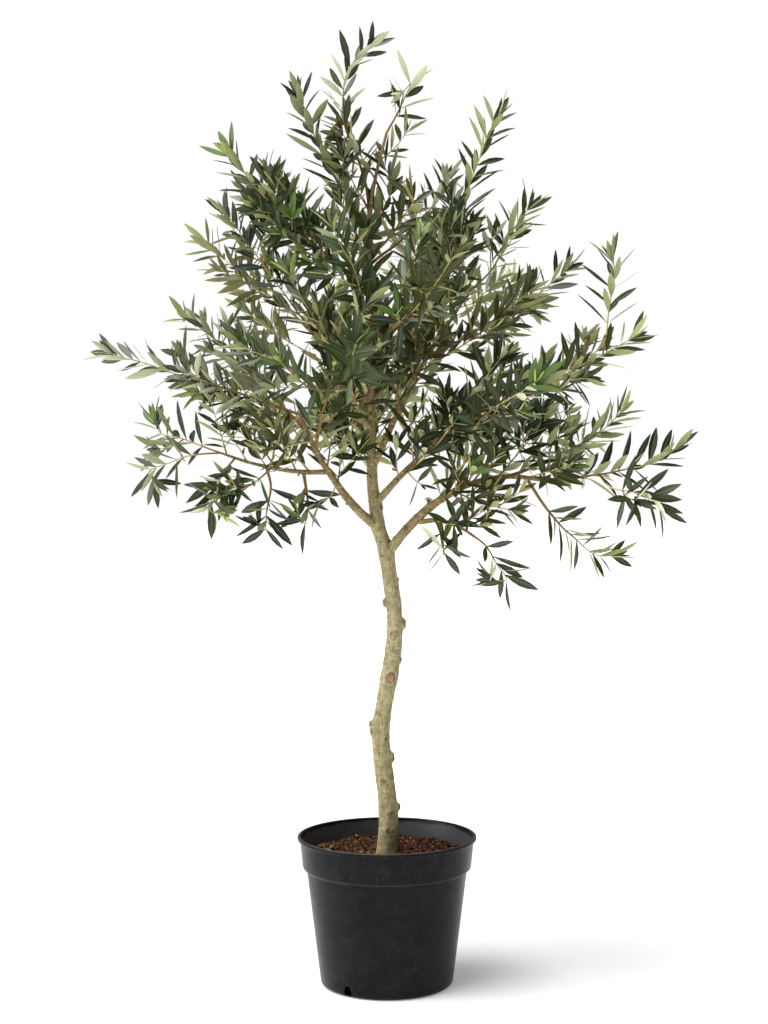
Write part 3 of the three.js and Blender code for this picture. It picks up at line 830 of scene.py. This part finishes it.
# How much of each limb is bare before short leafy spurs stand on it, in metres.
BARE_TO = {
    "trunk": 0.670, "bough_left_low": 0.100, "bough_left_reach": 0.028, "bough_right_low": 0.104,
    "bough_right_droop": 0.060, "bough_right_mid": 0.060, "bough_right_high": 0.090,
    "bough_left_high": 0.050, "bough_back_low": 0.080, "bough_back_left": 0.070,
    "bough_back_right": 0.070, "bough_front_low": 0.050, "bough_front_high": 0.040,
}
SPUR_SPACING = 0.026
SPUR_REACH = (0.036, 0.105)  # shortest and longest

# The share of side shoots that a mass keeps: fewer where others stand before or behind it.
FULL_SHARE = 0.92
OPEN_SHARE = 0.46
OPEN_MASSES = ("front", "back", "inner", "top", "leader")

# Shoots that stand alone, in the open under the crown and between its masses: limb, distance along it,
# tip and size of leaf.
LONE_SHOOTS = [
    ("trunk", 0.611, (-0.064, -0.022, 0.866), 0.78),
    ("bough_right_mid", 0.078, (0.052, -0.060, 0.792), 0.78),
    ("bough_left_low", 0.103, (-0.108, -0.050, 0.762), 0.78),
    ("bough_right_mid", 0.050, (0.112, -0.110, 0.900), 1.0),
    ("bough_right_mid", 0.150, (0.180, -0.100, 0.978), 1.0),
    ("bough_right_mid", 0.190, (0.330, -0.020, 1.000), 1.0),
    ("bough_right_high", 0.170, (0.215, -0.060, 1.085), 1.0),
    ("bough_right_low", 0.180, (0.190, 0.030, 0.885), 1.0),
    ("bough_left_reach", 0.090, (-0.250, -0.100, 0.775), 1.0),
    ("bough_left_low", 0.215, (-0.290, -0.030, 0.935), 1.0),
    ("bough_left_high", 0.150, (-0.245, -0.020, 1.205), 1.0),
    ("trunk", 0.900, (-0.205, -0.030, 1.235), 1.0),
]

LEAF_LENGTH = 0.0560
LEAF_WIDTH = 0.0112
LEADER_SPACING = 0.0140  # between one pair of leaves and the next on a leading shoot
LEAF_SPACING = 0.0172  # and on a side shoot
TUFT = 0.040  # how far the last leaves reach past the end of their shoot
SIDE_SHOOT = (0.036, 0.150)  # shortest and longest
SHOOT_STEP = 0.006  # between two points of a shoot's line
UP = np.array([0.0, 0.0, 1.0])
BRIGHT_SIDE = np.array([-0.35, -0.94, 0.0])  # the side that the plant was grown with to the light

# Leaf skins, dealt out by spray: name, upper side, underside.
LEAF_TONES = [
    ("deep", "#1f2d17", "#989e70"),
    ("green", "#33441d", "#a3a974"),
    ("olive", "#43471e", "#a39f6c"),
    ("grey", "#364124", "#cbcda8"),
    ("fresh", "#5c7833", "#a8b36c"),
]
FRESH = 4
TONE_SHARES = (0.36, 0.30, 0.16, 0.18)
INNER_TONE_SHARES = (0.20, 0.22, 0.52, 0.06)  # older leaves deep in the crown are more olive


def leathery_leaf(name, code, rough):
    """Olive leaf skin: waxed above, so the sky lies on it as a soft sheen, and matt with scales below."""
    return finish_material(name, Base_Color=tone(code), Roughness=rough, Specular_IOR_Level=0.36)[0]


leaf_skins = [leathery_leaf(f"leaf_upper_{name}", upper, 0.40) for name, upper, _ in LEAF_TONES]
leaf_skins += [leathery_leaf(f"leaf_under_{name}", under, 0.72) for name, _, under in LEAF_TONES]
leaf_skins += [leathery_leaf("leaf_midrib", "#6e7853", 0.5)]

# Shoots turn from green at the tip through straw to brown wood, so that they stand out from the leaves.
twig_barks = [
    finish_material(name, Base_Color=tone(code), Roughness=0.75, Specular_IOR_Level=0.3)[0]
    for name, code in (
        ("woody_twig_bark", "#886c3d"), ("young_shoot_skin", "#c2ab70"), ("green_tip_skin", "#a6a85f"))
]
WOODY_FROM = 0.00125  # radius above which a twig has brown bark

# One leaf, as stations along it and lines across it: an upper sheet with a narrow midrib strip, and an
# underside with the rib standing out.
STATIONS = np.array([0.0, 0.10, 0.27, 0.50, 0.73, 0.91, 1.0])
OUTLINE = np.maximum(np.sin(np.pi * STATIONS ** 1.08) ** 0.88, [0.11, 0, 0, 0, 0, 0, 0.02])
UPPER_LINES = np.array([-1.0, -0.06, 0.06, 1.0])
UNDER_LINES = np.array([-1.0, 0.0, 1.0])
LEAF_THICK = 0.00045


def sheet_faces(columns, first, under):
    """The quads of one side of a leaf, which face outwards on both sides."""
    made = []
    for row in range(len(STATIONS) - 1):
        for column in range(columns - 1):
            a = first + row * columns + column
            quad = [a, a + columns, a + columns + 1, a + 1]
            made.append(quad[::-1] if under else quad)
    return made


def both_sides(upper, under):
    return np.concatenate([np.asarray(upper).ravel(), np.asarray(under).ravel()])


upper_v, under_v = (np.tile(lines, (len(STATIONS), 1)) for lines in (UPPER_LINES, UNDER_LINES))
LEAF_FACES = np.array(
    sheet_faces(len(UPPER_LINES), 0, False) + sheet_faces(len(UNDER_LINES), upper_v.size, True))
spans = len(STATIONS) - 1
LEAF_PARTS = np.array([0, 2, 0] * spans + [1, 1] * spans)  # 0 upper side, 1 underside, 2 midrib
LEAF_U = both_sides(*(np.repeat(STATIONS, v.shape[1]) for v in (upper_v, under_v)))
LEAF_W = both_sides(*(np.repeat(OUTLINE, v.shape[1]) for v in (upper_v, under_v)))
LEAF_V = both_sides(upper_v, under_v)
LEAF_RISE = both_sides(np.where(abs(upper_v) < 0.5, -0.3, 0.0), np.where(under_v == 0, -1.6, 0.0))
LEAF_RISE *= LEAF_THICK


def joined_leaves(name, leaves):
    """Joins many leaves into one piece. Each is its foot, its direction, the way its upper side faces,
    length, width, arch, fold, sideways bend and tone."""
    foot = np.array([leaf[0] for leaf in leaves])[:, None, :]
    ahead = np.array([leaf[1] for leaf in leaves])[:, None, :]
    face = np.array([leaf[2] for leaf in leaves])[:, None, :]
    length, width, arch, fold, bend = (np.array([leaf[k] for leaf in leaves])[:, None] for k in range(3, 8))
    tones = np.array([leaf[8] for leaf in leaves])
    across = np.cross(face, ahead)
    half_width = width / 2 * LEAF_W * LEAF_V
    sideways = half_width + bend * length * LEAF_U ** 2
    rise = LEAF_RISE * np.minimum(1, LEAF_W * 2) + fold * abs(half_width) - arch * length * LEAF_U ** 2
    forward = (length * LEAF_U)[:, :, None]
    points = foot + ahead * forward + across * sideways[:, :, None] + face * rise[:, :, None]
    faces = LEAF_FACES[None] + (np.arange(len(leaves)) * len(LEAF_U))[:, None, None]
    count = len(LEAF_TONES)
    under = np.where(LEAF_PARTS[None] == 1, count, 0) + tones[:, None]
    slots = np.where(LEAF_PARTS[None] == 2, 2 * count, under)
    return piece(name, points.reshape(-1, 3), faces.reshape(-1, 4).tolist(), leaf_skins, slots.ravel())


def turned_about(vector, axis, angle):
    return (vector * math.cos(angle) + np.cross(axis, vector) * math.sin(angle)
            + axis * np.dot(axis, vector) * (1 - math.cos(angle)))


class Axis:
    """The line of a limb or shoot, with what it takes to set something on it."""

    def __init__(self, line):
        self.line = line
        self.run = run_of(line)
        self.along, self.side, self.up = frames_along(line)

    def at(self, place, angle):
        """The point so far along the line, the line's way there, and a way out square to it."""
        i = min(int(np.searchsorted(self.run, place)), len(self.line) - 1)
        return self.line[i], self.along[i], square_to(self.side[i], self.up[i], angle)


def put_leaf(leaves, dice, base, spread, length, leaf_tone):
    """One leaf that stands off its stalk by the spread angle and turns its face out to the light."""
    foot, stalk, outward = base
    ahead = unit(stalk * math.cos(spread) + outward * math.sin(spread) + UP * 0.12)
    away = np.array([foot[0] + 0.02, foot[1], 0.0])  # the stem leans a little to the left of the pot's axis
    light = UP * 0.38 + away / max(0.12, np.linalg.norm(away)) * 0.40 + BRIGHT_SIDE * 0.42
    face = unit(stalk - ahead * np.dot(stalk, ahead)) * 0.75 + light
    face = unit(face - ahead * np.dot(face, ahead))
    face = turned_about(face, ahead, math.radians(dice.gauss(0, 31)))
    width = LEAF_WIDTH * (length / LEAF_LENGTH) ** 0.7 * dice.uniform(0.84, 1.16)
    arch = dice.uniform(-0.03, 0.13)
    fold = dice.uniform(-0.05, 0.42)
    leaves.append((foot, ahead, face, length, width, arch, fold, dice.gauss(0, 0.035), leaf_tone))


def clothe(line, leaves, dice, bare, spray_tone, tip_tone, size, spacing):
    """Sets pairs of leaves along a shoot from its bare foot to the tuft at its end."""
    axis = Axis(line)
    total = axis.run[-1]
    turn = dice.uniform(0, math.pi)
    place = bare
    while place < total - 0.002:
        share = place / total
        for half_turn in (0, math.pi):
            if dice.random() < 0.05:
                continue
            base = axis.at(place, turn + half_turn + dice.gauss(0, 0.16))
            spread = math.radians(60 - 22 * share ** 2 + dice.gauss(0, 9))
            length = LEAF_LENGTH * size * dice.uniform(0.80, 1.18) * (1 - 0.22 * share ** 3)
            put_leaf(leaves, dice, base, spread, length, tip_tone if place > total - 0.014 else spray_tone)
        turn += math.pi / 2 + dice.gauss(0, 0.12)
        place += spacing * (1.06 - 0.30 * share) * dice.uniform(0.85, 1.15)
    for spread, reach in ((30, 0.80), (15, 0.56)):
        for half_turn in (0, math.pi):
            put_leaf(leaves, dice, axis.at(total, turn + half_turn), math.radians(spread + dice.gauss(0, 6)),
                     LEAF_LENGTH * size * reach * dice.uniform(0.85, 1.1), tip_tone)
        turn += math.pi / 2
    return axis


def add_twig(twigs, line, start, end, sides):
    """Adds a shoot's wood, brown where it is thick and green at the tip."""
    radii = start + (end - start) * np.linspace(0, 1, len(line)) ** 0.7
    first = sum(len(points) for points, _, _ in twigs)
    points, faces = tube(line, radii, sides, first)
    slot = np.where(radii[:-1] > WOODY_FROM, 0, 1)
    slot[-max(1, len(slot) // 8):] = 2
    slots = np.concatenate([np.repeat(slot, sides), [slot[0], slot[-1]]])
    twigs.append((points, faces, slots))


def room(tree, place, ahead):
    """How far the mass reaches from a place inside it, and nothing where the place is outside."""
    hit, normal, _, distance = tree.ray_cast(Vector(place), Vector(ahead))
    return distance if hit is not None and normal.dot(Vector(ahead)) > 0 else 0.0


def side_shoot(tree, dice, leaves, twigs, base, spray_tone, order, thickness=0.5):
    """A side shoot: it leaves at half a right angle, bends up to the light, and ends inside its mass,
    or anywhere where there is no mass round it."""
    foot, stalk, outward = base
    angle = math.radians(dice.uniform(38, 58))
    ahead = unit(stalk * math.cos(angle) + outward * math.sin(angle) + UP * 0.10)
    if tree is None:
        length = dice.uniform(*SPUR_REACH) / order
    else:
        length = min(room(tree, foot + outward * 0.004, ahead) - TUFT * 0.55, SIDE_SHOOT[1] / order)
    if length < SIDE_SHOOT[0] / order:
        return
    lift = UP * length * dice.uniform(0.02, 0.16) + stalk * length * dice.uniform(0.02, 0.12)
    route = [foot, foot + ahead * length * 0.5, foot + ahead * length + lift]
    line = smooth_line(route, SHOOT_STEP)
    tip_tone = FRESH if dice.random() < 0.08 else spray_tone
    axis = clothe(line, leaves, dice, 0.008, spray_tone, tip_tone, dice.uniform(0.80, 1.02), LEAF_SPACING)
    add_twig(twigs, line, 0.0011 + 0.006 * length, 0.0006, 5)
    if order > 1 or length < 0.06:
        return
    for place in np.arange(0.018, axis.run[-1] - 0.015, 0.020):
        if dice.random() < thickness * 0.72:
            base = axis.at(place, dice.uniform(0, 2 * math.pi))
            side_shoot(tree, dice, leaves, twigs, base, spray_tone, order + 1)


def section_middle(corners, triangles, place, normal):
    """The middle of the outline that a plane cuts from a mesh."""
    height = (corners - place) @ normal
    total, weight = np.zeros(3), 0.0
    for triangle in triangles:
        ends = []
        for a, b in zip(triangle, np.roll(triangle, -1)):
            if height[a] * height[b] < 0:
                ends.append(corners[a] + (corners[b] - corners[a]) * height[a] / (height[a] - height[b]))
        if len(ends) == 2:
            long = np.linalg.norm(ends[1] - ends[0])
            total += (ends[0] + ends[1]) / 2 * long
            weight += long
    return total / weight if weight else None


def grow_mass(mass, foot, foot_radius, seed, leaves, twigs):
    """Grows one mass: a leading shoot down its middle to its tip, and side shoots that fill it."""
    dice = random.Random(seed)
    thickness = OPEN_SHARE if any(word in mass for word in OPEN_MASSES) else FULL_SHARE
    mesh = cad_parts[mass].data
    corners = np.array([v.co for v in mesh.vertices])
    mesh.calc_loop_triangles()
    triangles = np.array([t.vertices for t in mesh.loop_triangles])
    tree = BVHTree.FromPolygons([Vector(c) for c in corners], [tuple(map(int, t)) for t in triangles])
    tip = corners[np.argmax(np.linalg.norm(corners - foot, axis=1))]
    chord = tip - foot
    reach = np.linalg.norm(chord)
    route = [foot]
    for share in (0.25, 0.5, 0.75):
        middle = section_middle(corners, triangles, foot + chord * share, chord / reach)
        if middle is not None:
            route.append((middle * 0.8 + (foot + chord * share) * 0.2))
    route.append(tip - chord / reach * TUFT)
    line = smooth_line(route, SHOOT_STEP)
    kinks = np.array([noise.noise_vector(Vector(p) * 17 + Vector((seed, 0, 0))) for p in line]) * 0.005
    line = line + kinks * np.sin(np.pi * np.linspace(0, 1, len(line)))[:, None]
    spray_tone = dice.choices(range(4), TONE_SHARES)[0]
    tip_tone = FRESH if dice.random() < 0.24 else spray_tone
    bare = min(0.065, reach * 0.26)
    axis = clothe(line, leaves, dice, bare, spray_tone, tip_tone, 1.06, LEADER_SPACING)
    add_twig(twigs, line, min(foot_radius * 0.92, 0.0032), 0.0007, 7)
    place, turn = bare * 0.8, dice.uniform(0, math.pi)
    while place < axis.run[-1] - 0.070:
        for half_turn in (0, math.pi):
            if dice.random() < thickness:
                own_tone = spray_tone if dice.random() < 0.6 else dice.choices(range(4), TONE_SHARES)[0]
                base = axis.at(place, turn + half_turn)
                side_shoot(tree, dice, leaves, twigs, base, own_tone, 1, thickness)
        turn += math.pi / 2 + dice.gauss(0, 0.2)
        place += dice.uniform(0.017, 0.026)
    limb_lines[mass] = (line, np.full(len(line), 0.0016))


def grow_spurs(limb, seed, leaves, twigs):
    """Short leafy shoots on the limb itself, which close the crown round its bare wood."""
    dice = random.Random(seed)
    axis = Axis(limb_lines[limb][0])
    place = BARE_TO[limb]
    while place < axis.run[-1] - 0.01:
        foot, stalk, outward = axis.at(place, dice.uniform(0, 2 * math.pi))
        if outward[2] < 0 and dice.random() < 0.5:
            outward = -outward
        spray_tone = dice.choices(range(4), INNER_TONE_SHARES)[0]
        side_shoot(None, dice, leaves, twigs, (foot, stalk, outward), spray_tone, 1)
        place += SPUR_SPACING * dice.uniform(0.6, 1.4) * (2.0 if limb == "trunk" else 1.0)


def grow_lone_shoots(limb, seed, leaves, twigs):
    """The shoots of one limb that stand alone; those with leaves of full size carry side shoots too."""
    dice = random.Random(seed)
    for parent, distance, tip, size in LONE_SHOOTS:
        if parent == limb:
            foot, _ = point_along(limb_lines[limb][0], distance)
            middle = (foot + tip) / 2 + np.array([0.004, -0.004, -0.006])
            line = smooth_line([foot, middle, np.array(tip)], SHOOT_STEP)
            own_tone = dice.choices(range(4), TONE_SHARES)[0]
            axis = clothe(line, leaves, dice, 0.030, own_tone, own_tone, size, LEAF_SPACING)
            add_twig(twigs, line, 0.0016 * size, 0.0008, 6)
            if size == 1.0:
                for place in np.arange(0.045, axis.run[-1] - 0.03, 0.024):
                    base = axis.at(place, dice.uniform(0, 2 * math.pi))
                    side_shoot(None, dice, leaves, twigs, base, own_tone, 2)


seed = 100
for limb, masses in SHOOTS.items():
    leaves, twigs = [], []
    for name, distance in masses.items():
        line, radii = limb_lines[limb]
        foot, index = point_along(line, distance + (STEM_SUNK if limb == "trunk" else 0))
        seed += 1
        grow_mass(f"leaves_{name}", foot, radii[index], seed, leaves, twigs)
    if limb in BARE_TO:
        grow_spurs(limb, seed + 500, leaves, twigs)
        grow_lone_shoots(limb, seed + 900, leaves, twigs)
    region = limb.replace("bough_", "").replace("leaves_", "")
    points, faces, slots = zip(*twigs)
    twig_piece = piece(
        f"twigs_{region}", np.concatenate(points), sum(faces, []), twig_barks, np.concatenate(slots))
    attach(twig_piece, "root")
    spray = joined_leaves(f"spray_{region}", leaves)
    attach(spray, "root")
    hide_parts(*(f"leaves_{name}" for name in masses))
